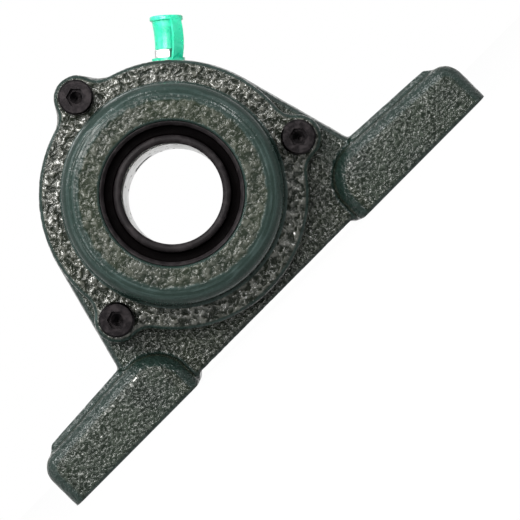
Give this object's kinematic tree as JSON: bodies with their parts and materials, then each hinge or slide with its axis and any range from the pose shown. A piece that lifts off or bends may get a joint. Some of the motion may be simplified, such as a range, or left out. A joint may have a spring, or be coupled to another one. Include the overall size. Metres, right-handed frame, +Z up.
{
  "type": "pillow block bearing unit",
  "caption": "Cast pillow block with a swivelling insert ball bearing, bolted domed dust covers on both sides, shaft seals and a capped grease nipple.",
  "frame": {"origin": "middle of the ball row on the bore axis", "axes": "+X along the feet, +Y along the bore towards the set screws, +Z up from the base"},
  "size_m": [0.14, 0.07, 0.0761],
  "materials": {
    "cast_paint": "gloss on rough cast iron",
    "cover_paint": "gloss on rough cast iron",
    "seal_rubber": "satin",
    "rim_rubber": "matt",
    "black_steel": "black oxide",
    "plated_steel": "zinc plated",
    "spring_steel": "bright drawn wire",
    "ball_steel": "polished",
    "ring_steel": "ground",
    "inner_ring_steel": "ground, speckled",
    "pressed_steel": "pressed, bright",
    "cage_steel": "pressed, dull",
    "cap_plastic": "translucent moulded"
  },
  "bodies": {
    "housing_unit": {"housing": "cast_paint", "cover_front": "cover_paint", "cover_rear": "cover_paint", "cover_seal_front": "seal_rubber", "cover_seal_rear": "seal_rubber", "front_cover_bolts": "black_steel", "rear_cover_bolts": "black_steel", "grease_nipple": "plated_steel", "nipple_spring": "spring_steel", "nipple_cap": "cap_plastic"},
    "insert": {"outer_ring": "ring_steel", "bearing_seal_front": "rim_rubber", "bearing_seal_rear": "rim_rubber"},
    "shaft_ring": {"inner_ring": "inner_ring_steel", "slinger_front": "pressed_steel", "slinger_rear": "pressed_steel", "set_screws": "black_steel"},
    "cage": {"cage_half_front": "cage_steel", "cage_half_rear": "cage_steel", "cage_rivets": "cage_steel"},
    "check_valve": {"nipple_ball": "ball_steel"},
    "rolling_ball_1": {"ball_1": "ball_steel"},
    "rolling_ball_2": {"ball_2": "ball_steel"},
    "rolling_ball_3": {"ball_3": "ball_steel"},
    "rolling_ball_4": {"ball_4": "ball_steel"},
    "rolling_ball_5": {"ball_5": "ball_steel"},
    "rolling_ball_6": {"ball_6": "ball_steel"},
    "rolling_ball_7": {"ball_7": "ball_steel"},
    "rolling_ball_8": {"ball_8": "ball_steel"},
    "rolling_ball_9": {"ball_9": "ball_steel"}
  },
  "joints": [
    {"name": "insert_swivel", "type": "hinge", "parent": "housing_unit", "child": "insert", "pos_m": [0, 0, 0], "axis": [1, 0, 0], "range_deg": [-1, 1]},
    {"name": "shaft_spin", "type": "hinge", "parent": "insert", "child": "shaft_ring", "pos_m": [0, 0, 0], "axis": [0, 1, 0], "continuous": true},
    {"name": "cage_orbit", "type": "hinge", "parent": "insert", "child": "cage", "pos_m": [0, 0, 0], "axis": [0, 1, 0], "continuous": true},
    {"name": "nipple_check", "type": "slide", "parent": "housing_unit", "child": "check_valve", "axis": [-0.6691, 0, -0.7431], "range_m": [0, 0.0006], "stiffness_N_per_m": 300, "springref_m": -0.0005, "deforming": ["nipple_spring"]},
    {"name": "ball_1_spin", "type": "hinge", "parent": "cage", "child": "rolling_ball_1", "pos_m": [0.0195, 0, 0], "axis": [0, 1, 0], "continuous": true},
    {"name": "ball_2_spin", "type": "hinge", "parent": "cage", "child": "rolling_ball_2", "pos_m": [0.01494, 0, 0.01253], "axis": [0, 1, 0], "continuous": true},
    {"name": "ball_3_spin", "type": "hinge", "parent": "cage", "child": "rolling_ball_3", "pos_m": [0.00339, 0, 0.0192], "axis": [0, 1, 0], "continuous": true},
    {"name": "ball_4_spin", "type": "hinge", "parent": "cage", "child": "rolling_ball_4", "pos_m": [-0.00975, 0, 0.01689], "axis": [0, 1, 0], "continuous": true},
    {"name": "ball_5_spin", "type": "hinge", "parent": "cage", "child": "rolling_ball_5", "pos_m": [-0.01832, 0, 0.00667], "axis": [0, 1, 0], "continuous": true},
    {"name": "ball_6_spin", "type": "hinge", "parent": "cage", "child": "rolling_ball_6", "pos_m": [-0.01832, 0, -0.00667], "axis": [0, 1, 0], "continuous": true},
    {"name": "ball_7_spin", "type": "hinge", "parent": "cage", "child": "rolling_ball_7", "pos_m": [-0.00975, 0, -0.01689], "axis": [0, 1, 0], "continuous": true},
    {"name": "ball_8_spin", "type": "hinge", "parent": "cage", "child": "rolling_ball_8", "pos_m": [0.00339, 0, -0.0192], "axis": [0, 1, 0], "continuous": true},
    {"name": "ball_9_spin", "type": "hinge", "parent": "cage", "child": "rolling_ball_9", "pos_m": [0.01494, 0, -0.01253], "axis": [0, 1, 0], "continuous": true}
  ],
  "couplings": [
    {"joint": "cage_orbit", "follows": "shaft_spin", "ratio": 0.39823},
    {"joint": "ball_1_spin", "follows": "shaft_spin", "ratio": -2.3548},
    {"joint": "ball_2_spin", "follows": "shaft_spin", "ratio": -2.3548},
    {"joint": "ball_3_spin", "follows": "shaft_spin", "ratio": -2.3548},
    {"joint": "ball_4_spin", "follows": "shaft_spin", "ratio": -2.3548},
    {"joint": "ball_5_spin", "follows": "shaft_spin", "ratio": -2.3548},
    {"joint": "ball_6_spin", "follows": "shaft_spin", "ratio": -2.3548},
    {"joint": "ball_7_spin", "follows": "shaft_spin", "ratio": -2.3548},
    {"joint": "ball_8_spin", "follows": "shaft_spin", "ratio": -2.3548},
    {"joint": "ball_9_spin", "follows": "shaft_spin", "ratio": -2.3548}
  ]
}
